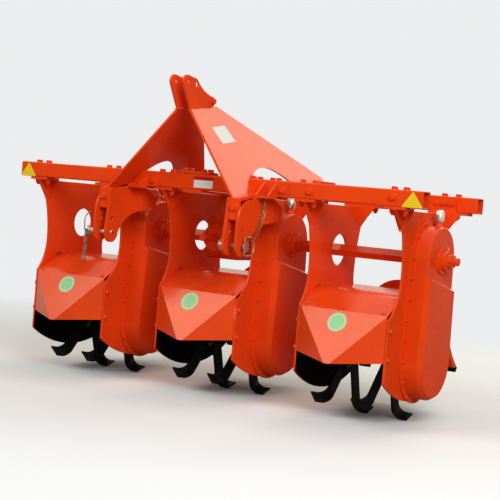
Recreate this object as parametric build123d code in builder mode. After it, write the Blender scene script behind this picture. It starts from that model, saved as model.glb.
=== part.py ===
from build123d import *

# Three-row mechanical weeder on a three-point hitch, in millimetres, +Z up, hitch towards -Y.
# The origin is the centre of the front top-link hole.
import os
from math import cos, radians, sin

os.makedirs("parts", exist_ok=True)

# Toolbars
bar_size = 70
bar_wall = 5
bar_round = 7
bar_length = 2110
bar_mid_x = 54.5
bar_spacing = 619
bar_front_y = 147
bar_top_z = -394

# Rows and drive line
row_pitch = 730
row_mid_x = 47.5
shaft_back = 365           # drive shaft behind the front bar's face
shaft_drop = 281
chain_centres = 443
run_gap = 0.05             # radial running clearance of every shaft
end_gap = 1                # beyond a shaft's end in its bearing
move_gap = 8               # space kept beside turning pieces
hex_flats = 52
sleeve_r = 31              # round bearing sleeves on the hexagonal shaft

# Row plates, measured from the two shaft axes
plate_t = 10
hood_width = 406
plate_reach = 320
shoulder_up = 206
shoulder_step = 18         # the chain-side plate's shoulder is lower
skirt_down = 80
belly_down = 175
neck_up = 108
side_neck = 296
side_waist = 264
side_waist_down = 87
chain_neck = 258
chain_waist = 226
chain_waist_down = 78
rear_neck = 202
rear_waist = 171
rear_waist_down = 110
foot_t = 12                # bolted feet under the bars
front_foot = (98, 48)      # depth behind the bar's front face, and half width
rear_foot = (150, 78)      # depth ahead of the bar's rear face, and half width
gusset_t = 8
gusset_height = 88
tab_t = 8                  # upright tab on the rear bar's front face
tab_start = -95
tab_width = 125
tab_height = 52
shaft_hole_r = 70
journal_r = 22.5
journal_length = 32
bearing_r = 64
bearing_flange_t = 14
boss_r = 42
boss_length = 38

# Hood
sheet_t = 4
hood_up = 203
crest_up = 290
crest_half = 175
crest_round = 150
prow_drop = 196            # from the hood's front edge to the prow's side corners
prow_forward = 116
prow_dip = 18              # the nose lies lower than the side corners
nose_half = 14
hem_drop = 40              # downward hem along the hood's rear edge
lug_half = 114             # arched lug across the rear slope
lug_side = 34              # straight part of its ends
lug_rise = 50
lug_back = 248             # behind the rotor's axis
lug_t = 8
lug_slot = (100, 30)       # grip under the arch
lug_slot_up = 24

# Rear flap
flap_mid = (392, 29)       # behind and above the rotor axis
flap_low = (516, -90)
flap_lip = 24

# Chain case
case_top_r = 144
case_low_r = 162
rim_width = 22
rim_t = 10
case_depth = 66
case_bevel = 6
cover_depth = 17           # beyond the body's face; the cover starts where the body's bevel does
cover_draft = 32           # slope of the cover's sides, in degrees
cover_drop = 94            # cover's upper edge below the drive shaft, ahead and behind by the slope
cover_slope = 11
hub_r = 58
hub_length = 11
nose_r = 44
nose_length = 22
stub_length = 44
stub_r = 17

# Breather
breather_r = 20
breather_seat = 12
breather_stem = 16
breather_draft = 20        # slope of the seat, in degrees
breather_inset = 28        # behind the body's outer face
breather_height = 54
breather_crown = 12        # rounding of the cap's upper edge

# Rotor
blade_reach = 276
tube_r = 38
disc_r = 88
disc_t = 10
disc_x = 96                # blade disc on each side of the row's centre
blade_t = 8
blade_width = 70
blade_leg = 74
blade_root = 48
blade_bend = 42
blades_per_disc = 6
blade_turn = 17            # first blade from the horizontal, in degrees

# Gearbox and its hanger
gearbox_half = 76
gearbox_up = 98
gearbox_front = 92         # ahead of the drive shaft's axis
gearbox_back = 96
gearbox_round = 34
snout_length = 30
snout_r = 50
flange_r = 63
flange_t = 19
cap_r = 62
cap_t = 12
input_r = 17.45            # power take-off shaft
input_length = 100
input_journal_r = 21
input_hold = 60
hanger_width = 100
clamp_width = 176

# Hitch
cheek_t = 12
top_gap = 54
top_hole_r = 9.75
top_rear_hole_r = 12.75
top_rear_hole = (64, -5)
clevis_nose = (-42, -10)   # outline of the cheeks, from the nose along the upper edge
clevis_brow = (-34, 18)
clevis_top = (-8, 27)
clevis_back = (60, 18)
clevis_dip = (112, -20)
clevis_saddle = (186, -44)
clevis_end = (214, -64)
clevis_bolt = (196, -64)
clevis_bolt_r = 11
lower_half = 341.5         # half the distance between the lower link points
lower_y = -12
lower_z = -685
lower_gap = 50             # between a bracket's two cheeks
lower_pin_r = 11
spare_hole = (-4, 61)      # second hole in each cheek, from the pin
nose_half_width = 45
throat_up = 93             # straight front edge above the pin
throat_round = 109
throat_bulge = (0.3, 0.7)  # middle of the rounding, as shares of it
base_front_y = 77          # base plate under the bar
base_back_y = 230
base_width = 133
gusset_drop = 10
face_width = 62            # plate on the bar's front face, beside the outermost gusset
face_t = 6
gusset_x = {"left": (90,), "right": (31, 90)}  # gussets beside each bracket's middle
tail_y = 310
tail_drop = 36
tail_height = 50
belly_y = 192
belly_depth = 109
web_t = 12                 # plate that closes the bracket's front
web_height = 92
pin_end = 40
pin_neck = 2
pin_bevel = 3
pin_head_r = 21
pin_head_length = 22
pin_out = {"left": 36, "right": 0}  # how far each pin is drawn out
ring_half = 40
ring_corner = 14
ring_bow = 37
ring_wire_r = 3
ring_bevel = 0.5           # corners taken off the bar, as a share of its half width
ring_gap = 0.6
ring_turn = {"left": 95, "right": 0}  # the bow's direction, 0 is rearwards
chain_stud = (134, -488)
chain_stud_r = 2.8
chain_stud_length = 18
chain_seat = {"left": (0, 27), "right": (70, 29)}  # where the chain holds the ring, in its plane
chain_hang = 5.5           # from a link's middle to what it hangs on
chain_links = {"left": 8, "right": 10}
chain_sag = {"left": 0.5, "right": 25}
chain_wire = 4
chain_width = 15
chain_slack = 0.4
loose_length = 128

# Tower plates: y and z of the corners, and how the plates spread
tower_t = 10
tower_front = (26, -118)
tower_crown = (230, -84)
tower_foot = (-40, -485)
tower_heel = 57            # leg's rear corner below the bar's top
tower_tail = (733, -354)
tower_mid_x = 34
tower_splay = 0.828        # widening per millimetre of fall
tower_flare = 0.143        # widening per millimetre towards the rear
arch_start = 33            # behind the front bar's face
arch_length = 278
arch_up = 54
arch_crown = 0.45          # where the arch is highest, as a share of its length
tongue_t = 22
tongue_width = 84
tongue_length = 176

# Places that follow from the sizes
bar_bottom_z = bar_top_z - bar_size
bar_rear_y = bar_front_y + bar_spacing
bar_back_y = bar_rear_y + bar_size
feet_y = (bar_front_y + bar_size / 2, bar_rear_y + bar_size / 2)
plate_feet = (
    # start y, depth, half width, gusset y
    (bar_front_y, *front_foot, bar_front_y + front_foot[0] - gusset_t),
    (bar_back_y - rear_foot[0], *rear_foot, bar_back_y - rear_foot[0]),
)
foot_z = bar_bottom_z - foot_t
shaft_y = bar_front_y + shaft_back
shaft_z = bar_top_z - shaft_drop
rotor_z = shaft_z - chain_centres
half_width = hood_width / 2
hood_front_y = shaft_y - plate_reach
hood_rear_y = shaft_y + plate_reach
hood_edge_z = rotor_z + hood_up
hub_end = plate_t + rim_t + case_depth + hub_length + nose_length
row_mid = {
    "left": row_mid_x - row_pitch,
    "centre": row_mid_x,
    "right": row_mid_x + row_pitch,
}
sides = {"left": -1, "right": 1}

# Toolbars: square tube, open at both ends
for name, bar_y in {"front_toolbar": bar_front_y, "rear_toolbar": bar_rear_y}.items():
    with BuildPart() as toolbar:
        with BuildSketch(Plane.YZ.offset(bar_mid_x - bar_length / 2)):
            with Locations((bar_y + bar_size / 2, bar_top_z - bar_size / 2)):
                RectangleRounded(bar_size, bar_size, bar_round)
                RectangleRounded(
                    bar_size - 2 * bar_wall,
                    bar_size - 2 * bar_wall,
                    bar_round - bar_wall,
                    mode=Mode.SUBTRACT,
                )
        extrude(amount=bar_length)
    toolbar.part.label = name
    export_step(toolbar.part, f"parts/{name}.step")


def plate_outline(neck, waist, waist_down, shoulder):
    """Outline of a row plate: necks under both bars, waist at the drive shaft, round belly."""
    neck_z = shaft_z + neck_up
    skirt_z = rotor_z - skirt_down
    front_waist = (shaft_y - waist, shaft_z - waist_down)
    back_waist = (shaft_y + rear_waist, shaft_z - rear_waist_down)
    Polyline(
        (shaft_y - neck, neck_z),
        (bar_front_y, foot_z),
        (bar_back_y, foot_z),
        (shaft_y + rear_neck, neck_z),
    )
    TangentArc(back_waist, (shaft_y + rear_neck, neck_z), tangent=(0, 1))
    TangentArc(back_waist, (hood_rear_y, shoulder), tangent=(0, -1))
    Line((hood_rear_y, shoulder), (hood_rear_y, skirt_z))
    ThreePointArc((hood_rear_y, skirt_z), (shaft_y, rotor_z - belly_down), (hood_front_y, skirt_z))
    Line((hood_front_y, skirt_z), (hood_front_y, shoulder))
    TangentArc(front_waist, (hood_front_y, shoulder), tangent=(0, -1))
    TangentArc(front_waist, (shaft_y - neck, neck_z), tangent=(0, 1))


def plate_foot(plate_mid):
    """Feet of a row plate under both bars, each with a gusset on either side of the plate."""
    for start_y, depth, half, gusset_y in plate_feet:
        with Locations((plate_mid, start_y + depth / 2, bar_bottom_z - foot_t / 2)):
            Box(2 * half, depth, foot_t)
        with BuildSketch(Plane.XZ.offset(-gusset_y)) as gusset:
            with BuildLine():
                Polyline(
                    (plate_mid - half, foot_z),
                    (plate_mid + half, foot_z),
                    (plate_mid + plate_t, foot_z - gusset_height),
                    (plate_mid - plate_t, foot_z - gusset_height),
                    close=True,
                )
            make_face()
        extrude(gusset.sketch, amount=-gusset_t)


for name, mid in row_mid.items():
    left_face = mid - half_width
    right_face = mid + half_width

    # Side plate with feet, the large hole round the drive shaft and the rotor's outer bearing
    with BuildPart() as side_plate:
        with BuildSketch(Plane.YZ.offset(left_face - plate_t)):
            with BuildLine():
                plate_outline(side_neck, side_waist, side_waist_down, rotor_z + shoulder_up)
            make_face()
            with Locations((shaft_y, shaft_z)):
                Circle(shaft_hole_r, mode=Mode.SUBTRACT)
        extrude(amount=plate_t)
        plate_foot(left_face - plate_t / 2)
        for radius, length in ((bearing_r, bearing_flange_t), (boss_r, boss_length)):
            with BuildSketch(Plane.YZ.offset(left_face - plate_t)):
                with Locations((shaft_y, rotor_z)):
                    Circle(radius)
            extrude(amount=-length)
        with BuildSketch(Plane.YZ.offset(left_face)):
            with Locations((shaft_y, rotor_z)):
                Circle(journal_r + run_gap)
        extrude(amount=-journal_length, mode=Mode.SUBTRACT)
    side_plate.part.label = f"side_plate_{name}"
    export_step(side_plate.part, f"parts/side_plate_{name}.step")

    # Plate on the chain side, open round both shafts, with a tab on the rear bar
    with BuildPart() as chain_plate:
        with BuildSketch(Plane.YZ.offset(right_face)):
            with BuildLine():
                plate_outline(chain_neck, chain_waist, chain_waist_down, rotor_z + shoulder_up - shoulder_step)
            make_face()
            with Locations((shaft_y, shaft_z)):
                Circle(sleeve_r + move_gap, mode=Mode.SUBTRACT)
            with Locations((shaft_y, rotor_z)):
                Circle(journal_r + move_gap, mode=Mode.SUBTRACT)
        extrude(amount=plate_t)
        plate_foot(right_face + plate_t / 2)
        with Locations((right_face + tab_start, bar_rear_y - tab_t, foot_z)):
            Box(tab_width, tab_t, foot_t + tab_height, align=(Align.MIN, Align.MIN, Align.MIN))
    chain_plate.part.label = f"chain_plate_{name}"
    export_step(chain_plate.part, f"parts/chain_plate_{name}.step")

    # Chain case: bolted rim, bevelled body, raised lower cover with a sloping ledge, and shaft hub
    case_back = right_face + plate_t
    body_face = case_back + rim_t + case_depth
    with BuildPart() as chain_case:
        with BuildSketch(Plane.YZ.offset(case_back)):
            with Locations((shaft_y, shaft_z)):
                Circle(case_top_r + rim_width)
            with Locations((shaft_y, rotor_z)):
                Circle(case_low_r + rim_width)
            make_hull()
        extrude(amount=rim_t)
        with BuildSketch(Plane.YZ.offset(case_back)):
            with Locations((shaft_y, shaft_z)):
                Circle(case_top_r)
            with Locations((shaft_y, rotor_z)):
                Circle(case_low_r)
            make_hull()
        extrude(amount=rim_t + case_depth - case_bevel)
        with BuildSketch(Plane.YZ.offset(body_face - case_bevel)):
            with Locations((shaft_y, shaft_z)):
                Circle(case_top_r)
            with Locations((shaft_y, rotor_z)):
                Circle(case_low_r)
            make_hull()
        extrude(amount=case_bevel, taper=45)
        cover_top = shaft_z - cover_drop
        with BuildSketch(Plane.YZ.offset(body_face - case_bevel)):
            with Locations((shaft_y, shaft_z)):
                Circle(case_top_r)
            with Locations((shaft_y, rotor_z)):
                Circle(case_low_r)
            make_hull()
            with Locations((shaft_y, cover_top)):
                Rectangle(
                    6 * case_low_r,
                    4 * case_low_r,
                    rotation=-cover_slope,
                    align=(Align.CENTER, Align.MIN),
                    mode=Mode.SUBTRACT,
                )
        extrude(amount=case_bevel + cover_depth, taper=cover_draft)
        for radius, length in ((hub_r, hub_length), (nose_r, hub_length + nose_length)):
            with BuildSketch(Plane.YZ.offset(body_face)):
                with Locations((shaft_y, shaft_z)):
                    Circle(radius)
            extrude(amount=length)
        with BuildSketch(Plane.XY.offset(shaft_z + case_top_r - breather_seat)):
            with Locations((body_face - breather_inset, shaft_y)):
                Circle(breather_r)
        extrude(amount=breather_seat + breather_stem, taper=breather_draft)
        with BuildSketch(Plane.YZ.offset(case_back)):
            with Locations((shaft_y, shaft_z)):
                Circle(sleeve_r + run_gap)
        extrude(amount=rim_t + case_depth + hub_length + nose_length, mode=Mode.SUBTRACT)
        with BuildSketch(Plane.YZ.offset(case_back)):
            with Locations((shaft_y, rotor_z)):
                Circle(journal_r + run_gap)
        extrude(amount=journal_length, mode=Mode.SUBTRACT)
    chain_case.part.label = f"chain_case_{name}"
    export_step(chain_case.part, f"parts/chain_case_{name}.step")

    # Breather cap, turned in one piece, on the seat on top of the case
    cap_plane = Plane(
        origin=(body_face - breather_inset, shaft_y, shaft_z + case_top_r + breather_stem),
        x_dir=(1, 0, 0),
        z_dir=(0, -1, 0),
    )
    with BuildPart() as breather:
        with BuildSketch(cap_plane):
            with BuildLine():
                Polyline(
                    (0, 0),
                    (breather_r - breather_crown / 2, 0),
                    (breather_r, breather_crown),
                    (breather_r, breather_height - breather_crown),
                    (breather_r - breather_crown / 3, breather_height - breather_crown / 3),
                    (breather_r - breather_crown, breather_height),
                    (0, breather_height),
                    close=True,
                )
            make_face()
        revolve(axis=Axis(cap_plane.origin, (0, 0, 1)))
    breather.part.label = f"breather_{name}"
    export_step(breather.part, f"parts/breather_{name}.step")

    # Hood: folded top sheet with a rear hem and an arched lug, and a three-sided prow
    with BuildPart() as hood:
        with BuildSketch(Plane.YZ.offset(left_face)):
            for inset, mode in ((0, Mode.ADD), (sheet_t, Mode.SUBTRACT)):
                with BuildLine():
                    FilletPolyline(
                        (hood_front_y, hood_edge_z - inset),
                        (shaft_y - crest_half, rotor_z + crest_up - inset),
                        (shaft_y + crest_half, rotor_z + crest_up - inset),
                        (hood_rear_y - inset, hood_edge_z - inset),
                        radius=crest_round - inset,
                    )
                    Polyline(
                        (hood_rear_y - inset, hood_edge_z - inset),
                        (hood_rear_y - inset, hood_edge_z - hem_drop),
                        (hood_front_y, hood_edge_z - hem_drop),
                        (hood_front_y, hood_edge_z - inset),
                    )
                make_face(mode=mode)
        extrude(amount=hood_width)
        low_z = hood_edge_z - prow_drop
        nose_y = hood_front_y - prow_forward
        top_left = (left_face, hood_front_y, hood_edge_z)
        top_right = (right_face, hood_front_y, hood_edge_z)
        low_left = (left_face, hood_front_y, low_z)
        low_right = (right_face, hood_front_y, low_z)
        nose_left = (mid - nose_half, nose_y, low_z - prow_dip)
        nose_right = (mid + nose_half, nose_y, low_z - prow_dip)
        for corners in (
            (top_left, nose_left, nose_right, top_right),
            (top_left, low_left, nose_left),
            (top_right, nose_right, low_right),
        ):
            facet = Face(Wire.make_polygon([Vector(*corner) for corner in corners]))
            normal = facet.normal_at()
            extrude(facet, amount=sheet_t, dir=normal if normal.Y > 0 else -normal)
        rear_slope = (crest_up - hood_up) / (plate_reach - crest_half)
        lug_foot = rotor_z + crest_up - rear_slope * (lug_back - crest_half) - sheet_t
        with BuildSketch(Plane.XZ.offset(-shaft_y - lug_back)):
            with BuildLine():
                Polyline(
                    (mid - lug_half, lug_foot + lug_side),
                    (mid - lug_half, lug_foot),
                    (mid + lug_half, lug_foot),
                    (mid + lug_half, lug_foot + lug_side),
                )
                ThreePointArc(
                    (mid + lug_half, lug_foot + lug_side),
                    (mid, lug_foot + lug_side + lug_rise),
                    (mid - lug_half, lug_foot + lug_side),
                )
            make_face()
            with Locations((mid, lug_foot + lug_slot_up)):
                SlotOverall(*lug_slot, mode=Mode.SUBTRACT)
        extrude(amount=-lug_t)
    hood.part.label = f"hood_{name}"
    export_step(hood.part, f"parts/hood_{name}.step")

    # Rear flap: a curved sheet that laps the hood's hem, with a lip along each side
    hem_point = (hood_rear_y + sheet_t / 2, hood_edge_z - hem_drop)
    mid_point = (shaft_y + flap_mid[0], rotor_z + flap_mid[1])
    low_point = (shaft_y + flap_low[0], rotor_z + flap_low[1])
    with BuildPart() as flap:
        with BuildSketch(Plane.YZ.offset(left_face)):
            with BuildLine():
                Line((hood_rear_y + sheet_t / 2, hood_edge_z), hem_point)
                ThreePointArc(hem_point, mid_point, low_point)
            trace(line_width=sheet_t)
        extrude(amount=hood_width)
        for lip_x in (left_face, right_face - sheet_t):
            with BuildSketch(Plane.YZ.offset(lip_x)):
                with BuildLine():
                    sheet_line = ThreePointArc(hem_point, mid_point, low_point)
                    centre = sheet_line.arc_center
                    inner = [
                        centre + (Vector(*point) - centre) * (1 - flap_lip / sheet_line.radius)
                        for point in (low_point, mid_point, hem_point)
                    ]
                    Line(low_point, inner[0])
                    ThreePointArc(*inner)
                    Line(inner[2], hem_point)
                make_face()
            extrude(amount=sheet_t)
    flap.part.label = f"rear_flap_{name}"
    export_step(flap.part, f"parts/rear_flap_{name}.step")

    # Rotor shaft with its two blade discs
    with BuildPart() as rotor_shaft:
        with BuildSketch(Plane.YZ.offset(left_face + move_gap)):
            with Locations((shaft_y, rotor_z)):
                Circle(tube_r)
        extrude(amount=hood_width - 2 * move_gap)
        with BuildSketch(Plane.YZ.offset(left_face - journal_length + end_gap)):
            with Locations((shaft_y, rotor_z)):
                Circle(journal_r)
        extrude(amount=hood_width + plate_t + 2 * journal_length - 2 * end_gap)
        for side in (-1, 1):
            with BuildSketch(Plane.YZ.offset(mid + side * disc_x - disc_t / 2)):
                with Locations((shaft_y, rotor_z)):
                    Circle(disc_r)
            extrude(amount=disc_t)
    rotor_shaft.part.label = f"rotor_shaft_{name}"
    export_step(rotor_shaft.part, f"parts/rotor_shaft_{name}.step")

    # Blades: bent flats on both faces of each disc, alternately left and right
    with BuildPart() as blades:
        for disc_side in (-1, 1):
            for step in range(blades_per_disc):
                hand = 1 if step % 2 else -1
                turn = blade_turn + step * 360 / blades_per_disc
                blade_plane = Plane(
                    origin=(mid + disc_side * disc_x + hand * disc_t / 2, shaft_y, rotor_z),
                    x_dir=(hand, 0, 0),
                    z_dir=(0, hand * cos(radians(turn)), hand * sin(radians(turn))),
                )
                with BuildSketch(blade_plane):
                    with BuildLine():
                        FilletPolyline(
                            (blade_t / 2, -blade_root),
                            (blade_t / 2, -blade_reach + blade_t / 2),
                            (blade_leg, -blade_reach + blade_t / 2),
                            radius=blade_bend,
                        )
                    trace(line_width=blade_t)
                extrude(amount=blade_width / 2, both=True)
    blades.part.label = f"rotor_blades_{name}"
    export_step(blades.part, f"parts/rotor_blades_{name}.step")

# Hexagonal drive shaft through every chain case and the gearbox
shaft_left = row_mid["left"] + half_width - 2 * move_gap
shaft_right = row_mid["right"] + half_width + hub_end + stub_length
with BuildPart() as drive_shaft:
    with BuildSketch(Plane.YZ.offset(shaft_left)):
        with Locations((shaft_y, shaft_z)):
            RegularPolygon(hex_flats / 2, 6, major_radius=False)
    extrude(amount=shaft_right - shaft_left - stub_length / 2)
    for mid in row_mid.values():
        with BuildSketch(Plane.YZ.offset(mid + half_width - move_gap)):
            with Locations((shaft_y, shaft_z)):
                Circle(sleeve_r)
        extrude(amount=hub_end + 2 * move_gap)
    sleeve_reach = gearbox_half + cap_t + move_gap
    with BuildSketch(Plane.YZ.offset(-sleeve_reach)):
        with Locations((shaft_y, shaft_z)):
            Circle(sleeve_r)
    extrude(amount=2 * sleeve_reach)
    with BuildSketch(Plane.YZ.offset(shaft_right - stub_length / 2)):
        with Locations((shaft_y, shaft_z)):
            Circle(stub_r)
    extrude(amount=stub_length / 2)
drive_shaft.part.label = "drive_shaft"
export_step(drive_shaft.part, "parts/drive_shaft.step")

# Bevel gearbox: rounded body, side bearing caps, snout and front flange
box_front_y = shaft_y - gearbox_front
flange_y = box_front_y - snout_length - flange_t
with BuildPart() as gearbox:
    with BuildSketch(Plane.YZ.offset(-gearbox_half)):
        with Locations((shaft_y + (gearbox_back - gearbox_front) / 2, shaft_z)):
            RectangleRounded(gearbox_front + gearbox_back, 2 * gearbox_up, gearbox_round)
    extrude(amount=2 * gearbox_half)
    with BuildSketch(Plane.YZ.offset(-gearbox_half - cap_t)):
        with Locations((shaft_y, shaft_z)):
            Circle(cap_r)
    extrude(amount=2 * (gearbox_half + cap_t))
    for radius, start, length in ((snout_r, flange_y, flange_t + snout_length), (flange_r, flange_y, flange_t)):
        with BuildSketch(Plane.XZ.offset(-start)):
            with Locations((0, shaft_z)):
                Circle(radius)
        extrude(amount=-length)
    with BuildSketch(Plane.YZ.offset(-gearbox_half - cap_t)):
        with Locations((shaft_y, shaft_z)):
            Circle(sleeve_r + run_gap)
    extrude(amount=2 * (gearbox_half + cap_t), mode=Mode.SUBTRACT)
    with BuildSketch(Plane.XZ.offset(-flange_y)):
        with Locations((0, shaft_z)):
            Circle(input_journal_r + run_gap)
    extrude(amount=-input_hold, mode=Mode.SUBTRACT)
gearbox.part.label = "gearbox"
export_step(gearbox.part, "parts/gearbox.step")

with BuildPart() as input_shaft:
    with BuildSketch(Plane.XZ.offset(-flange_y + move_gap)):
        with Locations((0, shaft_z)):
            Circle(input_journal_r)
    extrude(amount=-move_gap - input_hold + end_gap)
    with BuildSketch(Plane.XZ.offset(-flange_y + move_gap)):
        with Locations((0, shaft_z)):
            Circle(input_r)
    extrude(amount=input_length)
input_shaft.part.label = "input_shaft"
export_step(input_shaft.part, "parts/input_shaft.step")

# Hanger that carries the gearbox under both bars, with a clamp plate on top of each bar
strut_height = foot_z - shaft_z - gearbox_up
strut_y = shaft_y + (gearbox_back - gearbox_front) / 2
with BuildPart() as hanger:
    with Locations((0, (bar_front_y + bar_back_y) / 2, bar_bottom_z - foot_t / 2)):
        Box(hanger_width, bar_back_y - bar_front_y, foot_t)
    for side in (-1, 1):
        with Locations((side * (hanger_width - foot_t) / 2, strut_y, foot_z - strut_height / 2)):
            Box(foot_t, gearbox_up, strut_height)
hanger.part.label = "gearbox_hanger"
export_step(hanger.part, "parts/gearbox_hanger.step")

for name, foot_y in zip(("front", "rear"), feet_y):
    with BuildPart() as clamp:
        with BuildSketch(Plane.XY.offset(bar_top_z)):
            with Locations((0, foot_y)):
                RectangleRounded(clamp_width, bar_size, bar_round)
        extrude(amount=foot_t)
    clamp.part.label = f"hanger_clamp_{name}"
    export_step(clamp.part, f"parts/hanger_clamp_{name}.step")

# Top-link clevis: two cheeks with a hole for each hitch category, standing on the tower plates
tower_slope = (tower_crown[1] - tower_front[1]) / (tower_crown[0] - tower_front[0])
heel_y = clevis_bolt[0] + clevis_bolt_r / 3
clevis_heel = (heel_y, tower_front[1] + tower_slope * (heel_y - tower_front[0]))
with BuildPart() as clevis:
    for start in (-top_gap / 2 - cheek_t, top_gap / 2):
        with BuildSketch(Plane.YZ.offset(start)):
            with BuildLine():
                Line(tower_front, clevis_nose)
                ThreePointArc(clevis_nose, clevis_brow, clevis_top)
                Line(clevis_top, clevis_back)
                ThreePointArc(clevis_back, clevis_dip, clevis_saddle)
                ThreePointArc(clevis_saddle, clevis_end, clevis_heel)
                Line(clevis_heel, tower_front)
            make_face()
            Circle(top_hole_r, mode=Mode.SUBTRACT)
            with Locations(top_rear_hole):
                Circle(top_rear_hole_r, mode=Mode.SUBTRACT)
        extrude(amount=cheek_t)
clevis.part.label = "top_clevis"
export_step(clevis.part, "parts/top_clevis.step")

with BuildPart() as cross_bolt:
    with BuildSketch(Plane.YZ.offset(-top_gap / 2)):
        with Locations(clevis_bolt):
            Circle(clevis_bolt_r)
    extrude(amount=top_gap)
cross_bolt.part.label = "clevis_cross_bolt"
export_step(cross_bolt.part, "parts/clevis_cross_bolt.step")

# Tower plates: a splayed plate on each side, from the clevis to both bars
arch_front_y = bar_front_y + arch_start
arch_rear_y = arch_front_y + arch_length
tail_x = (
    tower_mid_x
    + tower_splay * (tower_front[1] - tower_tail[1])
    + tower_flare * (tower_tail[0] - tower_front[0])
)
for name, side in sides.items():
    slab_plane = Plane(
        origin=(side * tower_mid_x, *tower_front),
        x_dir=(0, tower_splay, tower_flare),
        z_dir=(side, -tower_flare, tower_splay),
    )
    with BuildPart() as tower:
        with BuildSketch(slab_plane):
            Rectangle(4 * bar_spacing, 4 * bar_spacing)
        extrude(amount=tower_t / 2, both=True)
        with BuildSketch(Plane.YZ):
            with BuildLine():
                Polyline(
                    tower_crown,
                    tower_front,
                    tower_foot,
                    (bar_front_y, bar_top_z - tower_heel),
                    (bar_front_y, bar_top_z),
                    (arch_front_y, bar_top_z),
                )
                ThreePointArc(
                    (arch_front_y, bar_top_z),
                    (arch_front_y + arch_crown * arch_length, bar_top_z + arch_up),
                    (arch_rear_y, bar_top_z),
                )
                Polyline(
                    (arch_rear_y, bar_top_z),
                    (tower_tail[0], bar_top_z),
                    tower_tail,
                    tower_crown,
                )
            make_face()
        extrude(amount=side * bar_spacing, mode=Mode.INTERSECT)
        with BuildSketch(Plane.XY.offset(bar_top_z)):
            with Locations((side * tail_x, bar_back_y - tongue_length / 2)):
                RectangleRounded(tongue_width, tongue_length, tongue_width / 3)
        extrude(amount=tongue_t)
    tower.part.label = f"tower_plate_{name}"
    export_step(tower.part, f"parts/tower_plate_{name}.step")

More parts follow.
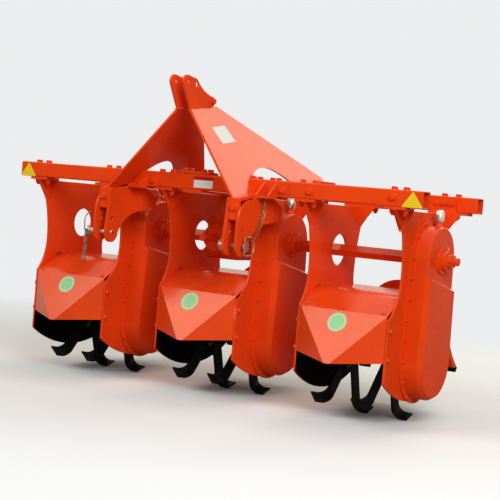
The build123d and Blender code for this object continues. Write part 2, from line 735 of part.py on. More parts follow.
# Lower-link brackets: two goose-neck cheeks on a base plate under the bar, with gussets up the bar's face
for name, side in sides.items():
    mid = side * lower_half
    outer_face = mid + side * (lower_gap / 2 + cheek_t)
    base_z = bar_bottom_z - foot_t
    nose_front = lower_y - nose_half_width
    nose_back = lower_y + nose_half_width
    with BuildPart() as bracket:
        for start, outer in ((mid - lower_gap / 2 - cheek_t, side < 0), (mid + lower_gap / 2, side > 0)):
            with BuildSketch(Plane.YZ.offset(start)):
                with BuildLine():
                    if outer:
                        Line((nose_front, lower_z), (nose_front, lower_z + throat_up))
                        ThreePointArc(
                            (nose_front, lower_z + throat_up),
                            (
                                nose_front + throat_round * throat_bulge[0],
                                lower_z + throat_up + throat_round * throat_bulge[1],
                            ),
                            (nose_front + throat_round, base_z - cheek_t),
                        )
                        Line((nose_front + throat_round, base_z - cheek_t), (base_front_y, base_z))
                    else:
                        Polyline(
                            (nose_front, lower_z),
                            tower_foot,
                            (bar_front_y, bar_top_z - tower_heel),
                            (bar_front_y, bar_bottom_z),
                            (base_front_y, base_z),
                        )
                    Polyline(
                        (base_front_y, base_z),
                        (base_back_y, base_z),
                        (tail_y, base_z - tail_drop),
                        (tail_y, base_z - tail_drop - tail_height),
                        (belly_y, base_z - belly_depth),
                    )
                    ThreePointArc(
                        (belly_y, base_z - belly_depth),
                        (nose_back + throat_round / 2, base_z - belly_depth - throat_round / 3),
                        (nose_back, lower_z),
                    )
                    ThreePointArc(
                        (nose_back, lower_z),
                        (lower_y, lower_z - nose_half_width),
                        (nose_front, lower_z),
                    )
                make_face()
                with Locations((lower_y, lower_z)):
                    Circle(lower_pin_r, mode=Mode.SUBTRACT)
                with Locations((lower_y + spare_hole[0], lower_z + spare_hole[1])):
                    Circle(lower_pin_r, mode=Mode.SUBTRACT)
            extrude(amount=cheek_t)
        with BuildSketch(Plane.YZ.offset(mid - lower_gap / 2 - cheek_t)):
            with Locations((base_front_y, base_z)):
                Rectangle(base_back_y - base_front_y, foot_t, align=(Align.MIN, Align.MIN))
        extrude(amount=base_width)
        with BuildSketch(Plane.XZ.offset(-bar_front_y)):
            with Locations((mid + gusset_x[name][-1], bar_bottom_z)):
                Rectangle(face_width, bar_size - gusset_drop, align=(Align.MIN, Align.MIN))
        extrude(amount=face_t)
        for gusset_mid in gusset_x[name]:
            with BuildSketch(Plane.YZ.offset(mid + gusset_mid - cheek_t / 2)):
                with BuildLine():
                    Polyline(
                        (base_front_y, bar_bottom_z),
                        (bar_front_y, bar_bottom_z),
                        (bar_front_y, bar_top_z - gusset_drop),
                        close=True,
                    )
                make_face()
            extrude(amount=cheek_t)
        with BuildSketch(Plane.YZ.offset(mid - lower_gap / 2)):
            with BuildLine():
                Polyline(
                    tower_foot,
                    (bar_front_y, bar_top_z - tower_heel),
                    (bar_front_y, bar_bottom_z),
                    (tower_foot[0] + web_t, tower_foot[1] - web_t),
                    (tower_foot[0] + web_t, tower_foot[1] - web_height),
                    (tower_foot[0], tower_foot[1] - web_height),
                    close=True,
                )
            make_face()
        extrude(amount=lower_gap)
        with BuildSketch(Plane.YZ.offset(outer_face)):
            with Locations(chain_stud):
                Circle(chain_stud_r)
        extrude(amount=side * chain_stud_length)
    bracket.part.label = f"lower_bracket_{name}"
    export_step(bracket.part, f"parts/lower_bracket_{name}.step")

    # Hitch pin, turned, with a flared head on the outer side and a cross hole for its ring
    inner_end = pin_out[name] - lower_gap / 2 - cheek_t - pin_end
    neck_end = pin_out[name] + lower_gap / 2 + cheek_t + pin_neck
    pin_plane = Plane(origin=(mid, lower_y, lower_z), x_dir=(side, 0, 0), z_dir=(0, side, 0))
    ring_plane = Plane(
        origin=(mid + side * (neck_end + pin_head_length / 2), lower_y, lower_z),
        x_dir=(0, cos(radians(ring_turn[name])), sin(radians(ring_turn[name]))),
        z_dir=(1, 0, 0),
    )
    with BuildPart() as hitch_pin:
        with BuildSketch(pin_plane):
            with BuildLine():
                Polyline(
                    (inner_end, 0),
                    (inner_end, lower_pin_r - pin_bevel),
                    (inner_end + pin_bevel, lower_pin_r),
                    (neck_end, lower_pin_r),
                    (neck_end + pin_head_length - pin_bevel, pin_head_r),
                    (neck_end + pin_head_length, pin_head_r),
                    (neck_end + pin_head_length, 0),
                    close=True,
                )
            make_face()
        revolve(axis=Axis((mid, lower_y, lower_z), (1, 0, 0)))
        with BuildSketch(Plane(origin=ring_plane.origin, z_dir=ring_plane.y_dir)):
            Circle(ring_wire_r + ring_gap)
        extrude(amount=pin_head_r, both=True, mode=Mode.SUBTRACT)
    hitch_pin.part.label = f"hitch_pin_{name}"
    export_step(hitch_pin.part, f"parts/hitch_pin_{name}.step")

    # Pull ring: a bar that runs straight through the pin's head and closes in a wide bow
    with BuildPart() as pin_ring:
        with BuildSketch(ring_plane.offset(-ring_wire_r)):
            with BuildLine():
                FilletPolyline(
                    (0, ring_half),
                    (0, -ring_half),
                    (2 * ring_half, -ring_half),
                    (2 * ring_half, ring_half),
                    radius=[ring_corner, ring_corner, ring_bow, ring_bow],
                    close=True,
                )
            ring_face = make_face()
            offset(ring_face, amount=ring_wire_r)
            offset(ring_face, amount=-ring_wire_r, mode=Mode.SUBTRACT)
        extrude(amount=2 * ring_wire_r)
        chamfer(pin_ring.edges(), ring_wire_r * ring_bevel)
    pin_ring.part.label = f"pin_ring_{name}"
    export_step(pin_ring.part, f"parts/pin_ring_{name}.step")

    # Chain: on the right from the bracket's stud to the ring, on the left hanging loose from the ring
    ring_seat = ring_plane.from_local_coords(chain_seat[name])
    if name == "right":
        chain_top = Vector(outer_face + chain_stud_length / 2, *chain_stud) - Vector(0, 0, chain_hang)
        chain_end = ring_seat + Vector(0, 0, chain_hang)
    else:
        chain_top = ring_seat - Vector(0, 0, chain_hang)
        chain_end = chain_top - Vector(0, 0, loose_length)
    with BuildPart() as pin_chain:
        with BuildLine() as chain_path:
            sagging = (chain_top + chain_end) / 2 + Vector(0, chain_sag[name], 0)
            ThreePointArc(chain_top, sagging, chain_end)
        chain_line = chain_path.wire()
        link_count = chain_links[name]
        link_inner = chain_line.length / (link_count - 1) + chain_slack
        for step in range(link_count):
            along = chain_line % (step / (link_count - 1))
            flat = Vector(1, 0, 0) - along * along.X
            link_plane = Plane(
                origin=chain_line @ (step / (link_count - 1)),
                x_dir=along,
                z_dir=flat if (step % 2 == 0) == (name == "right") else along.cross(flat),
            )
            with BuildSketch(link_plane):
                link = Rectangle(link_inner + 2 * chain_wire, chain_width)
                chamfer(link.vertices(), chain_wire)
                Rectangle(link_inner, chain_width - 2 * chain_wire, mode=Mode.SUBTRACT)
            extrude(amount=chain_wire / 2, both=True)
    pin_chain.part.label = f"pin_chain_{name}"
    export_step(pin_chain.part, f"parts/pin_chain_{name}.step")
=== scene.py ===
import math
import bpy
from mathutils import Matrix, Vector


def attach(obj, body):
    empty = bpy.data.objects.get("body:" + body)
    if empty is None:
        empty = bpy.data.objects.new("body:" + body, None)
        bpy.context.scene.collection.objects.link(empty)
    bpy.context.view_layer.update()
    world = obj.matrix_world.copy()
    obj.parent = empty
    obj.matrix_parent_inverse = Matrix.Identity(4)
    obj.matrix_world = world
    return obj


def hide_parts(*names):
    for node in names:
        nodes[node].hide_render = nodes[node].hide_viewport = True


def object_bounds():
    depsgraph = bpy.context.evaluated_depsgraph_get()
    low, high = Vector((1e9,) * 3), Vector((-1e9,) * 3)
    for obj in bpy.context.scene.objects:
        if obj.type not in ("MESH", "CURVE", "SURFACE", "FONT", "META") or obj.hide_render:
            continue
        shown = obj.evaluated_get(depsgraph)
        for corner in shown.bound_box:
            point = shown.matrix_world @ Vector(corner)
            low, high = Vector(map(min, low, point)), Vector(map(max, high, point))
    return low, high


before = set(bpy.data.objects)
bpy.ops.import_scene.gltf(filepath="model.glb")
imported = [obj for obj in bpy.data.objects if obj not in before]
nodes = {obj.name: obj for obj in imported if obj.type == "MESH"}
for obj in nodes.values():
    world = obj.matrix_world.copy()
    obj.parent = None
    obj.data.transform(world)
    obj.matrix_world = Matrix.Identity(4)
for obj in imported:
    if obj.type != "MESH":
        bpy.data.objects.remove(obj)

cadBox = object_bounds()
scene = bpy.context.scene
rowNames = ("left", "centre", "right")
sideNames = ("left", "right")
rowMid = {"left": -0.6825, "centre": 0.0475, "right": 0.7775}
shaftY, shaftZ, rotorZ = 0.512, -0.675, -1.118   # the two axes of every row
halfWidth, plateT = 0.203, 0.010                 # half a row, and its plates
barFrontY, barRearY, barSize, barTopZ = 0.147, 0.766, 0.070, -0.394
footZ = -0.476                                   # underside of the plates' feet
print("frame loaded,", len(nodes), "nodes")


# camera: fitted to the photograph, in metres and degrees
cameraView = {"place": (3.0255, -4.4105, -0.4888), "yaw": 30.63, "pitch": 2.322, "roll": 4.976, "lens": 88.12,
              "sensor": 36, "far": 60}


def aimCamera(v):
    yaw, pitch, roll = (math.radians(v[k]) for k in ("yaw", "pitch", "roll"))
    ahead = Vector((-math.sin(yaw) * math.cos(pitch), math.cos(yaw) * math.cos(pitch), -math.sin(pitch)))
    right = Vector((math.cos(yaw), math.sin(yaw), 0))
    up = right.cross(ahead)
    turnedRight = right * math.cos(roll) + up * math.sin(roll)
    turnedUp = up * math.cos(roll) - right * math.sin(roll)
    bpy.ops.object.camera_add(location=v["place"])
    camera = bpy.context.object
    turn = Matrix((turnedRight, turnedUp, -ahead)).transposed()
    camera.rotation_euler = turn.to_euler()
    camera.data.lens = v["lens"]
    camera.data.sensor_width = v["sensor"]
    camera.data.clip_end = v["far"]
    scene.camera = camera


aimCamera(cameraView)
print("camera aimed")


# small helpers for node trees
def addNode(tree, kind, **settings):
    node = tree.nodes.new(kind)
    for key, value in settings.items():
        setattr(node, key, value)
    return node


def feed(tree, socket, value):
    if hasattr(value, "is_output"):
        tree.links.new(value, socket)
    else:
        socket.default_value = value


def sums(tree, operation, first, second=0.0):
    node = addNode(tree, "ShaderNodeMath", operation=operation)
    feed(tree, node.inputs[0], first)
    feed(tree, node.inputs[1], second)
    return node.outputs[0]


def ranged(tree, value, low, high, toLow, toHigh):
    node = addNode(tree, "ShaderNodeMapRange")
    for place, number in zip((0, 1, 2, 3, 4), (value, low, high, toLow, toHigh)):
        feed(tree, node.inputs[place], number)
    return node.outputs[0]


def mixed(tree, share, first, second):
    node = addNode(tree, "ShaderNodeMix", data_type="RGBA")
    feed(tree, node.inputs["Factor"], share)
    feed(tree, node.inputs[6], first)
    feed(tree, node.inputs[7], second)
    return node.outputs[2]


def noise(tree, scale, detail=2.0, stretch=(1, 1, 1)):
    coords = addNode(tree, "ShaderNodeTexCoord")
    mapping = addNode(tree, "ShaderNodeMapping")
    mapping.inputs["Scale"].default_value = stretch
    texture = addNode(tree, "ShaderNodeTexNoise")
    texture.inputs["Scale"].default_value = scale
    texture.inputs["Detail"].default_value = detail
    tree.links.new(coords.outputs["Object"], mapping.inputs["Vector"])
    tree.links.new(mapping.outputs["Vector"], texture.inputs["Vector"])
    return texture.outputs["Fac"]


def startGroup(name, inputs, outputs):
    group = bpy.data.node_groups.new(name, "ShaderNodeTree")
    for label, kind, value in inputs:
        group.interface.new_socket(name=label, in_out="INPUT", socket_type=kind).default_value = value
    for label, kind in outputs:
        group.interface.new_socket(name=label, in_out="OUTPUT", socket_type=kind)
    return group, addNode(group, "NodeGroupInput"), addNode(group, "NodeGroupOutput")


def useGroup(tree, group, **values):
    node = addNode(tree, "ShaderNodeGroup", node_tree=group)
    for label, value in values.items():
        feed(tree, node.inputs[label], value)
    return node


# shared effects: sprayed paint with field dust, and plated or bare steel
def makePaintSkin():
    group, source, sink = startGroup(
        "paintSkin",
        [("Colour", "NodeSocketColor", (1, 1, 1, 1)), ("Shade", "NodeSocketFloat", 0.06),
         ("Dust", "NodeSocketFloat", 0.1), ("Gloss", "NodeSocketFloat", 0.24), ("Polish", "NodeSocketFloat", 0.1)],
        [("Colour", "NodeSocketColor"), ("Roughness", "NodeSocketFloat"), ("Height", "NodeSocketFloat"),
         ("Coat", "NodeSocketFloat")])
    tone = ranged(group, noise(group, 4.0, 3.0), 0.3, 0.7, -1.0, 1.0)
    value = sums(group, "ADD", sums(group, "MULTIPLY", tone, source.outputs["Shade"]), 1.0)
    toned = addNode(group, "ShaderNodeHueSaturation")
    feed(group, toned.inputs["Value"], value)
    feed(group, toned.inputs["Color"], source.outputs["Colour"])
    coords = addNode(group, "ShaderNodeTexCoord")
    split = addNode(group, "ShaderNodeSeparateXYZ")
    group.links.new(coords.outputs["Normal"], split.inputs[0])
    upward = ranged(group, split.outputs["Z"], 0.15, 0.95, 0.25, 1.0)
    patches = ranged(group, noise(group, 11.0, 5.0), 0.46, 0.72, 0.0, 1.0)
    dusty = sums(group, "MULTIPLY", sums(group, "MULTIPLY", upward, patches), source.outputs["Dust"])
    colour = mixed(group, dusty, toned.outputs["Color"], (0.42, 0.30, 0.21, 1))
    satin = ranged(group, noise(group, 36.0, 4.0), 0.3, 0.7, -0.05, 0.06)
    clean = sums(group, "ADD", satin, source.outputs["Gloss"])
    rough = sums(group, "ADD", clean, sums(group, "MULTIPLY", dusty, 0.5))
    peel = sums(group, "ADD", noise(group, 620.0, 1.0), sums(group, "MULTIPLY", noise(group, 90.0, 2.0), 0.8))
    sloping = sums(group, "MULTIPLY", ranged(group, split.outputs["Z"], 0.2, 0.7, 0.06, 1.0),
                   ranged(group, split.outputs["Z"], 0.8, 0.97, 1.0, 0.1))
    lacquer = sums(group, "MULTIPLY", sloping, source.outputs["Polish"])
    for label, result in (("Colour", colour), ("Roughness", rough), ("Height", peel), ("Coat", lacquer)):
        feed(group, sink.inputs[label], result)
    return group


def makeSteelSkin():
    group, source, sink = startGroup(
        "steelSkin",
        [("Bright", "NodeSocketColor", (0.6, 0.6, 0.6, 1)), ("Dull", "NodeSocketColor", (0.3, 0.3, 0.3, 1)),
         ("Grain", "NodeSocketFloat", 60.0)],
        [("Colour", "NodeSocketColor"), ("Roughness", "NodeSocketFloat"), ("Height", "NodeSocketFloat")])
    coords = addNode(group, "ShaderNodeTexCoord")
    cells = addNode(group, "ShaderNodeTexVoronoi")
    group.links.new(coords.outputs["Object"], cells.inputs["Vector"])
    feed(group, cells.inputs["Scale"], source.outputs["Grain"])
    bits = addNode(group, "ShaderNodeSeparateXYZ")
    group.links.new(cells.outputs["Color"], bits.inputs[0])
    stain = ranged(group, noise(group, 45.0, 5.0), 0.42, 0.68, 0.0, 0.8)
    share = sums(group, "MINIMUM", sums(group, "ADD", stain, sums(group, "MULTIPLY", bits.outputs["X"], 0.25)), 1.0)
    feed(group, sink.inputs["Colour"], mixed(group, share, source.outputs["Bright"], source.outputs["Dull"]))
    feed(group, sink.inputs["Roughness"], ranged(group, share, 0.0, 1.0, 0.24, 0.5))
    feed(group, sink.inputs["Height"], noise(group, 500.0, 3.0))
    return group


paintSkin = makePaintSkin()
steelSkin = makeSteelSkin()


# painted shade: the inside faces of each hood and of the row plates are painted black; the flaps are black below a
# given height: masks on Object coordinates
blackParts = {"roofHalf": 0.175, "roofFall": 0.6, "roofZ": -0.830, "frontY": 0.192, "rearY": 0.832, "slope": 0.593,
              "eavesZ": -0.915, "plateRoofZ": -0.829, "flapZ": -1.185}


def spotAndFacing(tree):
    coords = addNode(tree, "ShaderNodeTexCoord")
    spot = addNode(tree, "ShaderNodeSeparateXYZ")
    facing = addNode(tree, "ShaderNodeSeparateXYZ")
    tree.links.new(coords.outputs["Object"], spot.inputs[0])
    tree.links.new(coords.outputs["Normal"], facing.inputs[0])
    return spot, facing


# painted shade: hood faces turned towards the rotor axis, below the roof line, painted black
def hoodPaintedShade(tree):
    v = blackParts
    spot, facing = spotAndFacing(tree)
    back = sums(tree, "MULTIPLY", sums(tree, "SUBTRACT", spot.outputs["Y"], shaftY), facing.outputs["Y"])
    up = sums(tree, "MULTIPLY", sums(tree, "SUBTRACT", spot.outputs["Z"], rotorZ), facing.outputs["Z"])
    inward = sums(tree, "LESS_THAN", sums(tree, "ADD", back, up), -0.02)
    away = sums(tree, "ABSOLUTE", sums(tree, "SUBTRACT", spot.outputs["Y"], shaftY))
    beyond = sums(tree, "MAXIMUM", sums(tree, "SUBTRACT", away, v["roofHalf"]), 0.0)
    fall = sums(tree, "MULTIPLY", beyond, v["roofFall"])
    roof = sums(tree, "SUBTRACT", v["roofZ"], fall)
    return sums(tree, "MULTIPLY", inward, sums(tree, "LESS_THAN", spot.outputs["Z"], roof))


# painted shade: row-plate faces turned towards the rotor, below the hood's outline, painted black
def platePaintedShade(side):
    def mask(tree):
        v = blackParts
        spot, facing = spotAndFacing(tree)
        inward = sums(tree, "GREATER_THAN", sums(tree, "MULTIPLY", facing.outputs["X"], side), 0.5)
        front = sums(tree, "MULTIPLY_ADD", sums(tree, "SUBTRACT", spot.outputs["Y"], v["frontY"]), v["slope"])
        back = sums(tree, "MULTIPLY_ADD", sums(tree, "SUBTRACT", v["rearY"], spot.outputs["Y"]), v["slope"])
        for slope in (front, back):
            slope.node.inputs[2].default_value = v["eavesZ"]
        roof = sums(tree, "MINIMUM", sums(tree, "MINIMUM", front, back), v["plateRoofZ"])
        return sums(tree, "MULTIPLY", inward, sums(tree, "LESS_THAN", spot.outputs["Z"], roof))
    return mask


# the flaps black below a given height
def flapEdge(tree):
    spot, facing = spotAndFacing(tree)
    return sums(tree, "LESS_THAN", spot.outputs["Z"], blackParts["flapZ"])


machineOrange = (0.80, 0.058, 0.006, 1)
warmSheen = (1.0, 0.66, 0.42, 1)
paints = {
    "orangePaint": {"colour": machineOrange, "sheen": warmSheen, "polish": 0.7, "shade": 0.07, "dust": 0.07,
                    "gloss": 0.23},
    "hoodPaint": {"colour": machineOrange, "sheen": warmSheen, "polish": 0.6, "ior": 1.36, "shade": 0.07, "dust": 0.10,
                  "gloss": 0.20, "black": hoodPaintedShade},
    "sidePlatePaint": {"colour": machineOrange, "sheen": warmSheen, "polish": 0.7, "shade": 0.07, "dust": 0.08,
                       "gloss": 0.25, "black": platePaintedShade(1)},
    "chainPlatePaint": {"colour": machineOrange, "sheen": warmSheen, "polish": 0.7, "shade": 0.07, "dust": 0.08,
                        "gloss": 0.25, "black": platePaintedShade(-1)},
    "flapPaint": {"colour": machineOrange, "sheen": warmSheen, "polish": 0.7, "shade": 0.08, "dust": 0.2,
                  "gloss": 0.28, "black": flapEdge},
    "whiteLabel": {"colour": (0.78, 0.79, 0.78, 1), "shade": 0.03, "dust": 0.08, "gloss": 0.34},
    "yellowLabel": {"colour": (0.80, 0.56, 0.02, 1), "shade": 0.04, "dust": 0.08, "gloss": 0.34},
    "greenLabel": {"colour": (0.32, 0.67, 0.31, 1), "shade": 0.06, "dust": 0.08, "gloss": 0.3},
    "paleRing": {"colour": (0.62, 0.68, 0.50, 1), "shade": 0.04, "dust": 0.08, "gloss": 0.3},
    "redBand": {"colour": (0.52, 0.012, 0.012, 1), "shade": 0.05, "dust": 0.06, "gloss": 0.34},
    "blackPaint": {"colour": (0.008, 0.008, 0.008, 1), "shade": 0.25, "dust": 0.12, "gloss": 0.42},
}
# black of the painted shade inside hoods and row plates, also laid on the flaps below a given height
insideBlack = (0.006, 0.005, 0.005, 1)


def makePaint(name, v):
    material = bpy.data.materials.new(name)
    material.use_nodes = True
    tree = material.node_tree
    shader = tree.nodes["Principled BSDF"]
    skin = useGroup(tree, paintSkin, Colour=v["colour"], Shade=v["shade"], Dust=v["dust"], Gloss=v["gloss"],
                    Polish=v.get("polish", 0.1))
    colour, rough, coat = (skin.outputs[k] for k in ("Colour", "Roughness", "Coat"))
    # painted shade: the masked insides turn black, rough and without coat; on the flaps the part below a given height
    if "black" in v:
        inside = v["black"](tree)
        colour = mixed(tree, inside, colour, insideBlack)
        rough = sums(tree, "MAXIMUM", rough, sums(tree, "MULTIPLY", inside, 0.8))
        coat = sums(tree, "MULTIPLY", coat, sums(tree, "SUBTRACT", 1.0, inside))
    bump = addNode(tree, "ShaderNodeBump")
    bump.inputs["Strength"].default_value = 0.10
    bump.inputs["Distance"].default_value = 0.0006
    tree.links.new(skin.outputs["Height"], bump.inputs["Height"])
    tree.links.new(bump.outputs["Normal"], shader.inputs["Normal"])
    tree.links.new(colour, shader.inputs["Base Color"])
    tree.links.new(rough, shader.inputs["Roughness"])
    shader.inputs["IOR"].default_value = v.get("ior", 1.09)
    shader.inputs["Specular Tint"].default_value = v.get("sheen", (1, 1, 1, 1))
    tree.links.new(coat, shader.inputs["Coat Weight"])
    shader.inputs["Coat Roughness"].default_value = 0.20
    return material


steels = {
    "zincSteel": {"bright": (0.62, 0.62, 0.60, 1), "dull": (0.33, 0.32, 0.30, 1), "grain": 90.0},
    "yellowZinc": {"bright": (0.60, 0.49, 0.26, 1), "dull": (0.34, 0.26, 0.14, 1), "grain": 120.0},
    "darkSteel": {"bright": (0.20, 0.19, 0.18, 1), "dull": (0.06, 0.055, 0.05, 1), "grain": 70.0},
    "chainSteel": {"bright": (0.42, 0.41, 0.38, 1), "dull": (0.12, 0.11, 0.10, 1), "grain": 160.0},
    "capSteel": {"bright": (0.74, 0.74, 0.73, 1), "dull": (0.50, 0.49, 0.47, 1), "grain": 60.0},
}


def makeSteel(name, v):
    material = bpy.data.materials.new(name)
    material.use_nodes = True
    tree = material.node_tree
    shader = tree.nodes["Principled BSDF"]
    skin = useGroup(tree, steelSkin, Bright=v["bright"], Dull=v["dull"], Grain=v["grain"])
    bump = addNode(tree, "ShaderNodeBump")
    bump.inputs["Strength"].default_value = 0.12
    bump.inputs["Distance"].default_value = 0.0004
    tree.links.new(skin.outputs["Height"], bump.inputs["Height"])
    tree.links.new(bump.outputs["Normal"], shader.inputs["Normal"])
    tree.links.new(skin.outputs["Colour"], shader.inputs["Base Color"])
    tree.links.new(skin.outputs["Roughness"], shader.inputs["Roughness"])
    shader.inputs["Metallic"].default_value = 1.0
    return material


# blades: black paint, rubbed to grey steel and soil towards the tips
bladeWear = {"black": (0.004, 0.004, 0.004, 1), "rubbed": (0.028, 0.024, 0.021, 1), "from": 0.22, "to": 0.29}


def makeBladeSteel(v):
    material = bpy.data.materials.new("bladeSteel")
    material.use_nodes = True
    tree = material.node_tree
    shader = tree.nodes["Principled BSDF"]
    coords = addNode(tree, "ShaderNodeTexCoord")
    spot = addNode(tree, "ShaderNodeSeparateXYZ")
    tree.links.new(coords.outputs["Object"], spot.inputs[0])
    along = sums(tree, "POWER", sums(tree, "SUBTRACT", spot.outputs["Y"], shaftY), 2.0)
    upward = sums(tree, "POWER", sums(tree, "SUBTRACT", spot.outputs["Z"], rotorZ), 2.0)
    radius = sums(tree, "SQRT", sums(tree, "ADD", along, upward))
    tips = ranged(tree, radius, v["from"], v["to"], 0.0, 1.0)
    rubbed = sums(tree, "MULTIPLY", tips, ranged(tree, noise(tree, 34.0, 5.0), 0.4, 0.66, 0.0, 0.8))
    skin = useGroup(tree, paintSkin, Colour=v["black"], Shade=0.2, Dust=0.04, Gloss=0.5)
    tree.links.new(mixed(tree, rubbed, skin.outputs["Colour"], v["rubbed"]), shader.inputs["Base Color"])
    tree.links.new(skin.outputs["Roughness"], shader.inputs["Roughness"])
    shader.inputs["IOR"].default_value = 1.12
    bump = addNode(tree, "ShaderNodeBump")
    bump.inputs["Strength"].default_value = 0.2
    bump.inputs["Distance"].default_value = 0.0008
    tree.links.new(noise(tree, 140.0, 4.0), bump.inputs["Height"])
    tree.links.new(bump.outputs["Normal"], shader.inputs["Normal"])
    return material


finishes = {name: makePaint(name, v) for name, v in paints.items()}
finishes.update({name: makeSteel(name, v) for name, v in steels.items()})
finishes["bladeSteel"] = makeBladeSteel(bladeWear)
print("finishes made:", len(finishes))


# floor and light
studio = {"floorGap": 0.003, "floorSize": 16, "floorColour": (0.90, 0.935, 0.955, 1),
          "bounceColour": (0.40, 0.40, 0.40, 1),
          "paleColour": (0.845, 0.852, 0.858, 1),
          "sheenColour": (0.86, 0.76, 0.64, 1), "worldLight": 0.26, "fadeFrom": 1.7, "fadeTo": 4.2}


def makeStudio(v):
    bpy.ops.object.select_all(action="DESELECT")
    middle = (cadBox[0] + cadBox[1]) / 2
    bpy.ops.mesh.primitive_plane_add(size=v["floorSize"], location=(middle.x, middle.y, cadBox[0].z - v["floorGap"]))
    floor = bpy.context.object
    floor.name = "floor"
    material = bpy.data.materials.new("paleFloor")
    material.use_nodes = True
    tree = material.node_tree
    shader = tree.nodes["Principled BSDF"]
    path = addNode(tree, "ShaderNodeLightPath")
    tone = mixed(tree, path.outputs["Is Camera Ray"], v["bounceColour"], v["floorColour"])
    tree.links.new(tone, shader.inputs["Base Color"])
    shader.inputs["Roughness"].default_value = 0.9
    shader.inputs["Specular IOR Level"].default_value = 0.1
    coords = addNode(tree, "ShaderNodeTexCoord")
    reach = addNode(tree, "ShaderNodeVectorMath", operation="LENGTH")
    tree.links.new(coords.outputs["Object"], reach.inputs[0])
    fade = ranged(tree, reach.outputs["Value"], v["fadeFrom"], v["fadeTo"], 0.0, 1.0)
    clear = addNode(tree, "ShaderNodeBsdfTransparent")
    mix = addNode(tree, "ShaderNodeMixShader")
    tree.links.new(fade, mix.inputs["Fac"])
    tree.links.new(shader.outputs["BSDF"], mix.inputs[1])
    tree.links.new(clear.outputs["BSDF"], mix.inputs[2])
    tree.links.new(mix.outputs["Shader"], tree.nodes["Material Output"].inputs["Surface"])
    floor.data.materials.append(material)
    world = bpy.data.worlds.new("softSky")
    scene.world = world
    world.use_nodes = True
    tree = world.node_tree
    light = tree.nodes["Background"]
    light.inputs["Color"].default_value = v["paleColour"]
    light.inputs["Strength"].default_value = v["worldLight"]
    seen = addNode(tree, "ShaderNodeBackground")
    path = addNode(tree, "ShaderNodeLightPath")
    tree.links.new(mixed(tree, path.outputs["Is Glossy Ray"], v["paleColour"], v["sheenColour"]), seen.inputs["Color"])
    seen.inputs["Strength"].default_value = 1.0
    direct = sums(tree, "MAXIMUM", path.outputs["Is Camera Ray"], path.outputs["Is Glossy Ray"])
    direct = sums(tree, "MAXIMUM", direct, path.outputs["Is Transmission Ray"])
    mix = addNode(tree, "ShaderNodeMixShader")
    tree.links.new(direct, mix.inputs["Fac"])
    tree.links.new(light.outputs["Background"], mix.inputs[1])
    tree.links.new(seen.outputs["Background"], mix.inputs[2])
    tree.links.new(mix.outputs["Shader"], tree.nodes["World Output"].inputs["Surface"])


makeStudio(studio)
scene.view_settings.view_transform = "Standard"

lamps = {
    "key": {"place": (4.3, -3.5, 2.1), "size": 3.0, "power": 262},
    "sky": {"place": (-2.6, -3.2, 3.0), "size": 3.2, "power": 130, "colour": (1.0, 0.95, 0.84)},
    "back": {"place": (0.8, 4.6, 2.3), "size": 3.0, "tall": 5.0, "power": 132, "colour": (1.0, 0.91, 0.72)},
}


def addLamp(name, v):
    bpy.ops.object.light_add(type="AREA", location=v["place"])
    lamp = bpy.context.object
    lamp.name = name
    lamp.data.shape = "RECTANGLE"
    lamp.data.size = v["size"]
    lamp.data.size_y = v.get("tall", v["size"])
    lamp.data.energy = v["power"]
    lamp.data.color = v.get("colour", (1, 1, 1))
    target = (cadBox[0] + cadBox[1]) / 2
    lamp.rotation_euler = (Vector(v["place"]) - target).to_track_quat("Z", "Y").to_euler()


for lampName, values in lamps.items():
    addLamp(lampName, values)
print("studio lit")


# the machine's own nodes: a finish each, and softened edges
nodeFinish = {"clevis_cross_bolt": "zincSteel"}
nodeFinish.update({f"hood_{r}": "hoodPaint" for r in rowNames})
nodeFinish.update({f"side_plate_{r}": "sidePlatePaint" for r in rowNames})
nodeFinish.update({f"chain_plate_{r}": "chainPlatePaint" for r in rowNames})
nodeFinish.update({f"rear_flap_{r}": "flapPaint" for r in rowNames})
nodeFinish.update({f"breather_{r}": "capSteel" for r in rowNames})
nodeFinish.update({f"rotor_shaft_{r}": "blackPaint" for r in rowNames})
nodeFinish.update({f"rotor_blades_{r}": "bladeSteel" for r in rowNames})
nodeFinish.update({f"hitch_pin_{s}": "zincSteel" for s in sideNames})
nodeFinish.update({f"pin_ring_{s}": "yellowZinc" for s in sideNames})
nodeFinish.update({"pin_chain_left": "chainSteel", "pin_chain_right": "yellowZinc"})
edges = {"weld": 0.00002, "flat": 0.5, "round": 0.0015, "steps": 2, "sharp": 28}
edgeRound = {"hood": 0.0012, "rear_flap": 0.001, "pin_chain": 0.0006, "breather": 0.0008, "chain_case": 0.005,
             "gearbox": 0.003, "rotor_blades": 0.002}


def dressNode(name, node, v):
    node.data.materials.clear()
    node.data.materials.append(finishes[nodeFinish.get(name, "orangePaint")])
    weld = node.modifiers.new("weld", "WELD")
    weld.merge_threshold = v["weld"]
    flat = node.modifiers.new("flat", "DECIMATE")
    flat.decimate_type = "DISSOLVE"
    flat.angle_limit = math.radians(v["flat"])
    bevel = node.modifiers.new("edge", "BEVEL")
    bevel.width = edgeRound.get(name.rsplit("_", 1)[0], edgeRound.get(name, v["round"]))
    bevel.segments = v["steps"]
    bevel.limit_method = "ANGLE"
    bevel.angle_limit = math.radians(v["sharp"])
    bevel.harden_normals = True


for name, node in nodes.items():
    dressNode(name, node, edges)
print("nodes dressed")


# modelling helpers: every new piece ends at the origin, with its place in its mesh
def deselectAll():
    if bpy.context.object and bpy.context.object.mode != "OBJECT":
        bpy.ops.object.mode_set(mode="OBJECT")
    bpy.ops.object.select_all(action="DESELECT")


def pickFaces(piece, test):
    bpy.ops.object.mode_set(mode="OBJECT")
    for part in (piece.data.vertices, piece.data.edges):
        for item in part:
            item.select = False
    for face in piece.data.polygons:
        face.select = test(face)
    bpy.ops.object.mode_set(mode="EDIT")
    bpy.ops.mesh.select_mode(type="FACE")


